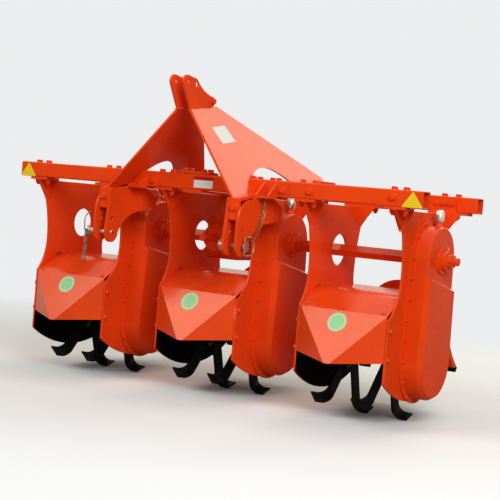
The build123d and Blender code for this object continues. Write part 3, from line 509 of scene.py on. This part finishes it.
def settle(piece, name, body, smooth=30):
    deselectAll()
    piece.select_set(True)
    bpy.context.view_layer.objects.active = piece
    bpy.ops.object.transform_apply(location=True, rotation=True, scale=True)
    bpy.ops.object.shade_smooth_by_angle(angle=math.radians(smooth))
    piece.name = name
    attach(piece, body)


def joinPieces(pieces):
    deselectAll()
    for piece in pieces:
        piece.select_set(True)
    bpy.context.view_layer.objects.active = pieces[0]
    if len(pieces) > 1:
        bpy.ops.object.join()
    return bpy.context.object


def copyTo(master, places, name, body):
    copies = []
    for place, axis, turn in places:
        piece = master.copy()
        piece.data = master.data.copy()
        scene.collection.objects.link(piece)
        aim = Vector(axis).to_track_quat("Z", "Y").to_matrix().to_4x4()
        piece.data.transform(Matrix.Translation(Vector(place)) @ aim @ Matrix.Rotation(turn, 4, "Z"))
        copies.append(piece)
    settle(joinPieces(copies), name, body)


# bolts: a hexagon head on a washer, and the same as a nut with its stud end
boltSizes = {
    "small": {"flats": 0.013, "head": 0.0055, "washer": 0.0085, "washerT": 0.0016, "stud": 0},
    "plate": {"flats": 0.019, "head": 0.0078, "washer": 0.0125, "washerT": 0.0025, "stud": 0},
    "bar": {"flats": 0.024, "head": 0.0100, "washer": 0.0160, "washerT": 0.0030, "stud": 0},
    "nut": {"flats": 0.024, "head": 0.0130, "washer": 0.0160, "washerT": 0.0030, "stud": 0.008},
    "blade": {"flats": 0.017, "head": 0.0080, "washer": 0.0110, "washerT": 0.0020, "stud": 0.003},
}


def makeBolt(name, v, finish):
    deselectAll()
    bpy.ops.mesh.primitive_cylinder_add(vertices=6, radius=v["flats"] / math.sqrt(3), depth=v["head"],
                                        location=(0, 0, v["washerT"] + v["head"] / 2))
    bolt = bpy.context.object
    bolt.name = name
    bpy.ops.object.transform_apply(location=True, rotation=True, scale=True)
    pickFaces(bolt, lambda face: face.normal.z > 0.9)
    bpy.ops.mesh.bevel(offset=v["flats"] * 0.07, segments=1, affect="EDGES")
    bpy.ops.mesh.select_all(action="DESELECT")
    bpy.ops.mesh.primitive_cylinder_add(vertices=20, radius=v["washer"], depth=v["washerT"],
                                        location=(0, 0, v["washerT"] / 2))
    pickFaces(bolt, lambda face: face.normal.z > 0.9 and face.center.z < v["washerT"] * 1.1)
    bpy.ops.mesh.bevel(offset=v["washerT"] * 0.25, segments=1, affect="EDGES")
    if v["stud"]:
        bpy.ops.mesh.select_all(action="DESELECT")
        top = v["washerT"] + v["head"]
        bpy.ops.mesh.primitive_cylinder_add(vertices=14, radius=v["flats"] * 0.32, depth=v["stud"] + v["head"] / 2,
                                            location=(0, 0, top + (v["stud"] - v["head"] / 2) / 2))
        pickFaces(bolt, lambda face: face.normal.z > 0.9 and face.center.z > top + v["stud"] * 0.9)
        bpy.ops.mesh.bevel(offset=v["flats"] * 0.06, segments=1, affect="EDGES")
    bpy.ops.object.mode_set(mode="OBJECT")
    bolt.data.materials.append(finishes[finish])
    return bolt


masters = {
    "smallPainted": makeBolt("smallPainted", boltSizes["small"], "orangePaint"),
    "platePainted": makeBolt("platePainted", boltSizes["plate"], "orangePaint"),
    "barPainted": makeBolt("barPainted", boltSizes["bar"], "orangePaint"),
    "nutPainted": makeBolt("nutPainted", boltSizes["nut"], "orangePaint"),
    "bladeBolt": makeBolt("bladeBolt", boltSizes["blade"], "darkSteel"),
}
print("bolt masters made")

# chain-case rim: evenly spaced round the two arcs and the straight sides
rimBolts = {"upper": 0.155, "lower": 0.173, "face": 0.010, "spacing": 0.088}


def rimPlaces(row, v):
    x = rowMid[row] + halfWidth + plateT + v["face"]
    lean = math.asin((v["lower"] - v["upper"]) / (shaftZ - rotorZ))
    places = []
    upperTurn = math.pi - 2 * lean
    lowerTurn = math.pi + 2 * lean
    arcs = ((shaftZ, v["upper"], lean, upperTurn), (rotorZ, v["lower"], math.pi - lean, lowerTurn))
    for centreZ, radius, start, sweep in arcs:
        count = round(radius * sweep / v["spacing"])
        for step in range(count + 1):
            angle = start + sweep * step / count
            places.append(Vector((x, shaftY + radius * math.cos(angle), centreZ + radius * math.sin(angle))))
    ends = [places[0], places[round(v["upper"] * upperTurn / v["spacing"])]]
    for side, upperEnd in zip((1, -1), ends):
        lowerEnd = Vector((x, shaftY + side * v["lower"] * math.cos(lean), rotorZ + v["lower"] * math.sin(lean)))
        count = round((upperEnd - lowerEnd).length / v["spacing"])
        for step in range(1, count):
            places.append(upperEnd.lerp(lowerEnd, step / count))
    return [(tuple(place), (1, 0, 0), 0.3 * k) for k, place in enumerate(places)]


# bearing, hood, plate and flap bolts of one row
rowBolts = {"bearingFace": 0.024, "bearingRing": 0.053, "hoodIn": 0.014, "hoodSide": 0.180, "stripY": 0.207,
            "stripZ": (-0.978, -1.0977), "flapX": (-0.15, -0.05, 0.05, 0.15), "flapY": 0.836, "flapZ": -0.935,
            "hoodEdge": (-0.320, 0.203), "hoodSlope": (0, 0.145, 0.087)}


def hoodPlaces(row, v):
    slope = Vector(v["hoodSlope"]).normalized()
    out = Vector((0, -slope.z, slope.y))
    edge = Vector((0, shaftY + v["hoodEdge"][0], rotorZ + v["hoodEdge"][1])) + slope * v["hoodIn"]
    places = []
    for across in (-v["hoodSide"], 0, v["hoodSide"]):
        places.append(((rowMid[row] + across, edge.y, edge.z), tuple(out), 0.2))
    return places


def ringPlaces(x, z, radius, count, axis, start=0.4):
    places = []
    for step in range(count):
        angle = start + 2 * math.pi * step / count
        places.append(((x, shaftY + radius * math.cos(angle), z + radius * math.sin(angle)), axis, angle))
    return places


for row in rowNames:
    mid = rowMid[row]
    caseBack = mid + halfWidth + plateT
    small = rimPlaces(row, rimBolts) + hoodPlaces(row, rowBolts)
    for across in rowBolts["flapX"]:
        small.append(((mid + across, rowBolts["flapY"], rowBolts["flapZ"]), (0, 1, 0), across))
    copyTo(masters["smallPainted"], small, f"rimBolts_{row}", "frame")
    plate = ringPlaces(mid - halfWidth - rowBolts["bearingFace"], rotorZ, rowBolts["bearingRing"], 4, (-1, 0, 0))
    for z in rowBolts["stripZ"]:
        plate.append(((caseBack, rowBolts["stripY"], z), (1, 0, 0), 0.5))
        plate.append(((mid - halfWidth - plateT, rowBolts["stripY"], z), (-1, 0, 0), 0.5))
    copyTo(masters["platePainted"], plate, f"plateBolts_{row}", "frame")
print("row bolts set")

# bars: bolts through both bars into each plate's feet, nuts under the feet
barBolts = {"side": {"front": (-0.029, 0.029), "rear": (-0.048, 0.030)},
            "chain": {"front": (-0.020, 0.034), "rear": (-0.048, 0.018)}}
barMidY = {"front": barFrontY + barSize / 2, "rear": barRearY + barSize / 2}


def barPlaces(v):
    tops, unders = [], []
    for row in rowNames:
        mids = {"side": rowMid[row] - halfWidth - plateT / 2, "chain": rowMid[row] + halfWidth + plateT / 2}
        for plateName, spots in v.items():
            for barName, offsets in spots.items():
                for offset in offsets:
                    x = mids[plateName] + offset
                    tops.append(((x, barMidY[barName], barTopZ), (0, 0, 1), x))
                    unders.append(((x, barMidY[barName], footZ), (0, 0, -1), x))
    return tops, unders


tops, unders = barPlaces(barBolts)
clampSpots = {"x": (-0.070, -0.035, 0.035, 0.070), "z": barTopZ + 0.012}
for barName in ("front", "rear"):
    for x in clampSpots["x"]:
        tops.append(((x, barMidY[barName], clampSpots["z"]), (0, 0, 1), x))
copyTo(masters["barPainted"], tops, "barBolts", "frame")
copyTo(masters["nutPainted"], unders, "footNuts", "frame")

# heads on upright faces: bar front, rear tab, bracket webs, face plates and the clevis
bracketX = 0.3415                                # middle of each lower-link bracket
uprightBolts = {"barFront": ((0.593, -0.432), (0.976, -0.426)), "face": ((-0.2095, -0.436), (0.4675, -0.436)),
                "faceT": 0.006, "tab": (0.1425, 0.1755, 0.2085), "tabT": 0.008, "tabZ": -0.428, "web": (-0.040, -0.526),
                "clevis": (0.196, -0.064), "clevisX": 0.039}
heads = [((x, barFrontY, z), (0, -1, 0), x) for x, z in uprightBolts["barFront"]]
heads += [((x, barFrontY - uprightBolts["faceT"], z), (0, -1, 0), x) for x, z in uprightBolts["face"]]
heads += [((side * bracketX, *uprightBolts["web"]), (0, -1, 0), side) for side in (-1, 1)]
copyTo(masters["barPainted"], heads, "frontHeads", "frame")
tabs = []
for row in rowNames:
    for x in uprightBolts["tab"]:
        spot = (rowMid[row] + x, barRearY - uprightBolts["tabT"], uprightBolts["tabZ"])
        tabs.append((spot, (0, -1, 0), rowMid["right"] + x))
copyTo(masters["platePainted"], tabs, "tabHeads", "frame")
for side, master, pieceName in ((1, "barPainted", "clevisHead"), (-1, "nutPainted", "clevisNut")):
    spot = (side * uprightBolts["clevisX"], *uprightBolts["clevis"])
    copyTo(masters[master], [(spot, (side, 0, 0), 0.2)], pieceName, "frame")
print("frame bolts set")

# gearbox flange and side caps
gearBolts = {"flangeY": 0.371, "ring": 0.054, "count": 8, "capX": 0.088, "capRing": 0.053}
flange = []
for step in range(gearBolts["count"]):
    angle = 2 * math.pi * (step + 0.5) / gearBolts["count"]
    across, up = gearBolts["ring"] * math.cos(angle), gearBolts["ring"] * math.sin(angle)
    flange.append(((across, gearBolts["flangeY"], shaftZ + up), (0, -1, 0), angle))
for side in (-1, 1):
    flange += ringPlaces(side * gearBolts["capX"], shaftZ, gearBolts["capRing"], 6, (side, 0, 0))
copyTo(masters["smallPainted"], flange, "gearboxBolts", "frame")

# blade bolts: two through each blade into its disc
bladeBolts = {"radii": (0.060, 0.079), "disc": 0.096, "face": 0.013, "turn": 17, "count": 6}
for row in rowNames:
    places = []
    for discSide in (-1, 1):
        for step in range(bladeBolts["count"]):
            hand = 1 if step % 2 else -1
            turn = math.radians(bladeBolts["turn"] + 360 * step / bladeBolts["count"])
            out = Vector((0, -math.sin(turn), math.cos(turn)))
            x = rowMid[row] + discSide * bladeBolts["disc"] + hand * bladeBolts["face"]
            for radius in bladeBolts["radii"]:
                spot = Vector((x, shaftY, rotorZ)) - out * radius
                places.append((tuple(spot), (hand, 0, 0), turn))
    copyTo(masters["bladeBolt"], places, f"bladeBolts_{row}", f"rotor_{row}")
print("drive and blade bolts set")


# grease nipples on the bearing bosses and the hub noses
nipple = {"base": 0.006, "height": 0.007, "neck": 0.0035, "ball": 0.0042, "rises": (0.004, 0.003, 0.003),
          "bearing": (0.026, 0.041), "hub": (0.098, 0.043)}


def makeNipple(v):
    deselectAll()
    top = v["height"]
    bpy.ops.mesh.primitive_cylinder_add(vertices=12, radius=v["base"], depth=top, location=(0, 0, top / 2))
    piece = bpy.context.object
    bpy.ops.object.transform_apply(location=True, rotation=True, scale=True)
    for inset, rise in zip((v["base"] - v["neck"], v["neck"] - v["ball"], v["ball"] / 2), v["rises"]):
        pickFaces(piece, lambda face: face.normal.z > 0.9 and face.center.z > top * 0.9)
        if inset > 0:
            bpy.ops.mesh.inset(thickness=inset)
        bpy.ops.mesh.extrude_region_move(TRANSFORM_OT_translate={"value": (0, 0, rise)})
        top += rise
    bpy.ops.object.mode_set(mode="OBJECT")
    piece.data.materials.append(finishes["yellowZinc"])
    return piece


masters["nipple"] = makeNipple(nipple)
grease = []
for row in rowNames:
    for side, centreZ, (out, up) in ((-1, rotorZ, nipple["bearing"]), (1, shaftZ, nipple["hub"])):
        grease.append(((rowMid[row] + side * (halfWidth + plateT + out), shaftY, centreZ + up), (0, 0, 1), 0))
copyTo(masters["nipple"], grease, "greaseNipples", "frame")
print("nipples set")


# blank labels: thin rounded sheets on the surfaces that carry them
labels = {
    "towerLabel": {"place": (0.1368, 0.157, -0.2116), "across": (0.0, 0.986, 0.170), "out": (0.7656, -0.1095, 0.6339),
                   "size": (0.103, 0.090), "corner": 0.006, "finish": "whiteLabel"},
    "barLabel": {"place": (0.0575, barFrontY, -0.429), "across": (1, 0, 0), "out": (0, -1, 0),
                 "size": (0.100, 0.049), "corner": 0.003, "finish": "whiteLabel", "band": 0.015},
}
labelThick = 0.0006


def addLabel(name, v):
    deselectAll()
    out = Vector(v["out"]).normalized()
    across = Vector(v["across"])
    across = (across - out * across.dot(out)).normalized()
    up = out.cross(across)
    bpy.ops.mesh.primitive_plane_add(size=1)
    piece = bpy.context.object
    piece.scale = (*v["size"], 1)
    bpy.ops.object.transform_apply(location=True, rotation=True, scale=True)
    bpy.ops.object.mode_set(mode="EDIT")
    bpy.ops.mesh.select_all(action="SELECT")
    bpy.ops.mesh.bevel(offset=v["corner"], segments=4, affect="VERTICES")
    bpy.ops.mesh.extrude_region_move(TRANSFORM_OT_translate={"value": (0, 0, labelThick)})
    if "band" in v:
        bpy.ops.mesh.select_all(action="SELECT")
        bpy.ops.mesh.bisect(plane_co=(0, v["size"][1] / 2 - v["band"], 0), plane_no=(0, 1, 0))
    bpy.ops.mesh.select_all(action="SELECT")
    bpy.ops.mesh.normals_make_consistent(inside=False)
    bpy.ops.object.mode_set(mode="OBJECT")
    piece.data.materials.append(finishes[v["finish"]])
    if "band" in v:
        piece.data.materials.append(finishes["redBand"])
        for face in piece.data.polygons:
            face.material_index = 1 if face.center.y > v["size"][1] / 2 - v["band"] else 0
    piece.matrix_world = Matrix.Translation(Vector(v["place"])) @ Matrix((across, up, out)).transposed().to_4x4()
    settle(piece, name, "frame")


for labelName, values in labels.items():
    addLabel(labelName, values)

triangles = {"left": (-0.955, -0.441), "right": (1.063, -0.441)}
triangleSize = {"radius": 0.044, "wider": 1.26, "corner": 0.006}
for side, (x, z) in triangles.items():
    deselectAll()
    bpy.ops.mesh.primitive_circle_add(vertices=3, radius=triangleSize["radius"], fill_type="NGON")
    piece = bpy.context.object
    piece.scale.x = triangleSize["wider"]
    bpy.ops.object.transform_apply(location=True, rotation=True, scale=True)
    bpy.ops.object.mode_set(mode="EDIT")
    bpy.ops.mesh.select_all(action="SELECT")
    bpy.ops.mesh.bevel(offset=triangleSize["corner"], segments=4, affect="VERTICES")
    bpy.ops.mesh.extrude_region_move(TRANSFORM_OT_translate={"value": (0, 0, labelThick)})
    bpy.ops.mesh.select_all(action="SELECT")
    bpy.ops.mesh.normals_make_consistent(inside=False)
    bpy.ops.object.mode_set(mode="OBJECT")
    piece.data.materials.append(finishes["yellowLabel"])
    piece.matrix_world = Matrix.Translation((x, barFrontY, z)) @ Matrix.Rotation(math.pi / 2, 4, "X")
    settle(piece, f"yellowTriangle_{side}", "frame")

# round blank badges on the hoods' front faces: green with a pale ring
badge = {"radius": 0.044, "rim": 0.004, "ring": 0.007, "x": {"left": -0.680, "centre": 0.026, "right": 0.766},
         "y": 0.166, "z": -0.963, "out": (0, -0.8792, 0.4765)}
for row in rowNames:
    deselectAll()
    bpy.ops.mesh.primitive_circle_add(vertices=56, radius=badge["radius"], fill_type="NGON")
    piece = bpy.context.object
    for finish in ("greenLabel", "paleRing"):
        piece.data.materials.append(finishes[finish])
    bpy.ops.object.mode_set(mode="EDIT")
    bpy.ops.mesh.select_all(action="SELECT")
    bpy.ops.mesh.extrude_region_move(TRANSFORM_OT_translate={"value": (0, 0, labelThick)})
    bpy.ops.mesh.inset(thickness=badge["rim"])
    bpy.ops.mesh.inset(thickness=badge["ring"])
    bpy.ops.mesh.select_all(action="SELECT")
    bpy.ops.mesh.normals_make_consistent(inside=False)
    bpy.ops.object.mode_set(mode="OBJECT")
    ringOuter = badge["radius"] - badge["rim"]
    for face in piece.data.polygons:
        reach = math.hypot(face.center.x, face.center.y)
        pale = face.normal.z > 0.9 and ringOuter - badge["ring"] < reach < ringOuter
        face.material_index = 1 if pale else 0
    out = Vector(badge["out"])
    piece.matrix_world = (Matrix.Translation((badge["x"][row], badge["y"], badge["z"]))
                          @ out.to_track_quat("Z", "Y").to_matrix().to_4x4())
    settle(piece, f"hoodBadge_{row}", "frame")
print("labels laid")


# splined power take-off shaft, in place of the plain one
spline = {"front": 0.263, "shoulder": 0.363, "radius": 0.01745, "depth": 0.0028, "flank": 0.0006, "chamfer": 0.0015,
          "keys": 6, "journal": 0.021, "end": 0.430}


def makeSpline(v):
    deselectAll()
    bpy.ops.mesh.primitive_cylinder_add(vertices=v["keys"] * 4, radius=v["radius"], depth=v["shoulder"] - v["front"])
    piece = bpy.context.object
    step = 2 * math.pi / (v["keys"] * 4)
    def isGroove(face):
        return abs(face.normal.z) < 0.5 and int(math.atan2(face.center.y, face.center.x) // step) % 4 < 2

    pickFaces(piece, isGroove)
    bpy.ops.mesh.inset(thickness=v["flank"], depth=-v["depth"])
    pickFaces(piece, lambda face: face.normal.z > 0.9)
    bpy.ops.mesh.bevel(offset=v["chamfer"], segments=1, affect="EDGES")
    bpy.ops.mesh.select_all(action="DESELECT")
    length = v["end"] - v["shoulder"]
    bpy.ops.mesh.primitive_cylinder_add(vertices=40, radius=v["journal"], depth=length,
                                        location=(0, 0, -(v["shoulder"] - v["front"]) / 2 - length / 2))
    bpy.ops.object.mode_set(mode="OBJECT")
    piece.data.materials.append(finishes["orangePaint"])
    middle = Matrix.Translation((0, (v["front"] + v["shoulder"]) / 2, shaftZ))
    piece.matrix_world = middle @ Matrix.Rotation(math.pi / 2, 4, "X")
    settle(piece, "splinedShaft", "input")
    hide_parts("input_shaft")


makeSpline(spline)


# spring clip through the right hitch pin's end: a headed peg with a loop
clip = {"place": (0.278, -0.012, -0.685), "peg": 0.0028, "up": 0.024, "down": 0.026, "chamfer": 0.001,
        "headRise": 0.004, "headGrow": 1.6, "wire": 0.0018}


def makeClip(v):
    deselectAll()
    x, y, z = v["place"]
    bpy.ops.mesh.primitive_cylinder_add(vertices=12, radius=v["peg"], depth=v["up"] + v["down"],
                                        location=(x, y, z + (v["up"] - v["down"]) / 2))
    piece = bpy.context.object
    bpy.ops.object.transform_apply(location=True, rotation=True, scale=True)
    pickFaces(piece, lambda face: abs(face.normal.z) > 0.9)
    bpy.ops.mesh.bevel(offset=v["chamfer"], segments=1, affect="EDGES")
    pickFaces(piece, lambda face: face.normal.z > 0.9)
    bpy.ops.mesh.extrude_region_move(TRANSFORM_OT_translate={"value": (0, 0, v["headRise"])})
    bpy.ops.transform.resize(value=(v["headGrow"], v["headGrow"], 1))
    bpy.ops.mesh.select_all(action="DESELECT")
    bpy.ops.mesh.primitive_torus_add(location=v["place"], rotation=(0, math.pi / 2, 0), major_radius=v["up"],
                                     minor_radius=v["wire"], major_segments=36, minor_segments=8)
    bpy.ops.object.mode_set(mode="OBJECT")
    piece.data.materials.append(finishes["zincSteel"])
    settle(piece, "pinClip", "frame")


makeClip(clip)
print("shaft and clip made")


# weld seams: overlapping drops along the joints of plates, feet, clevis, brackets and bearing bosses
weld = {"drop": 0.0042, "flat": 0.75, "pitch": 0.0075}


def makeDrop(v):
    deselectAll()
    bpy.ops.mesh.primitive_uv_sphere_add(segments=6, ring_count=4, radius=v["drop"])
    piece = bpy.context.object
    bpy.ops.object.mode_set(mode="EDIT")
    bpy.ops.mesh.select_all(action="SELECT")
    bpy.ops.transform.resize(value=(1.0, 1.0, v["flat"]))
    bpy.ops.object.mode_set(mode="OBJECT")
    piece.data.materials.append(finishes["orangePaint"])
    return piece


def seam(start, end, axis):
    start, end = Vector(start), Vector(end)
    count = max(2, round((end - start).length / weld["pitch"]))
    return [(tuple(start.lerp(end, step / count)), axis, step * 0.7) for step in range(count + 1)]


def roundSeam(x, z, radius, axis):
    return ringPlaces(x, z, radius, round(2 * math.pi * radius / weld["pitch"]), axis)


masters["drop"] = makeDrop(weld)
seamRuns = {"feet": (0.088, 0.140), "bearing": ((0.024, 0.042), (plateT, 0.064)), "clevisX": (0.027, 0.039),
            "clevis": ((0.026, -0.118), (0.199, -0.0895)), "cheekX": (-0.037, -0.025, 0.025, 0.037),
            "cheekY": (0.080, 0.228)}
barBackY = barRearY + barSize
footRuns = ((barFrontY, barFrontY + seamRuns["feet"][0]), (barBackY - seamRuns["feet"][1], barBackY))
seams = []
for row in rowNames:
    for inner, outer in ((rowMid[row] - halfWidth, rowMid[row] - halfWidth - plateT),
                         (rowMid[row] + halfWidth, rowMid[row] + halfWidth + plateT)):
        for startY, endY in footRuns:
            for x in (inner, outer):
                seams += seam((x, startY, footZ), (x, endY, footZ), (0, 0, 1))
    for out, radius in seamRuns["bearing"]:
        seams += roundSeam(rowMid[row] - halfWidth - out, rotorZ, radius, (-1, 0, 0))
clevisFront, clevisBack = seamRuns["clevis"]
cheekFront, cheekBack = seamRuns["cheekY"]
for side in (-1, 1):
    for x in seamRuns["clevisX"]:
        seams += seam((side * x, *clevisFront), (side * x, *clevisBack), (0, 0, 1))
    for x in seamRuns["cheekX"]:
        seams += seam((side * bracketX + x, cheekFront, footZ), (side * bracketX + x, cheekBack, footZ), (0, 0, 1))
copyTo(masters["drop"], seams, "weldSeams", "frame")
print("seams laid:", len(seams))
for master in masters.values():
    bpy.data.objects.remove(master)
print("all pieces made")
